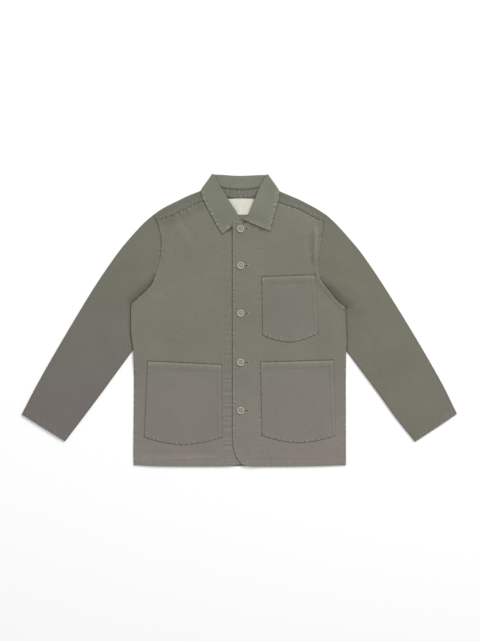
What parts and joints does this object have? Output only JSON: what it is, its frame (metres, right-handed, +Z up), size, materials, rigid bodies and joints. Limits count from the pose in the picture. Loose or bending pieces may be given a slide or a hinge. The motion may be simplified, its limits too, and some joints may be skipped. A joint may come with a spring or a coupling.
{
  "type": "chore jacket",
  "caption": "Unlined cotton canvas chore jacket, buttoned up and laid flat on its back: turned-down collar, long sleeves, a patch chest pocket and patch hip pockets.",
  "frame": {"origin": "on the surface that the jacket lies on, under the middle of its outline", "axes": "+X towards the wearer's left cuff, +Y from the hem towards the collar, +Z up from the surface through the back to the fronts"},
  "size_m": [1.1738, 0.7899, 0.0123],
  "materials": {
    "canvas": "washed, matte",
    "canvas_sleeve": "washed, matte",
    "canvas_collar": "washed, matte",
    "canvas_pocket": "washed, matte",
    "label": "plain woven",
    "button": "satin"
  },
  "bodies": {
    "root": {"back": "canvas", "front_right": "canvas", "front_left": "canvas", "sleeve_right": "canvas_sleeve", "sleeve_left": "canvas_sleeve", "collar_leaf": "canvas_collar", "collar_stand": "canvas_collar", "pocket_chest": "canvas_pocket", "pocket_hip_right": "canvas_pocket", "pocket_hip_left": "canvas_pocket", "label": "label", "button_1": "button", "button_2": "button", "button_3": "button", "button_4": "button", "button_5": "button"}
  },
  "joints": []
}
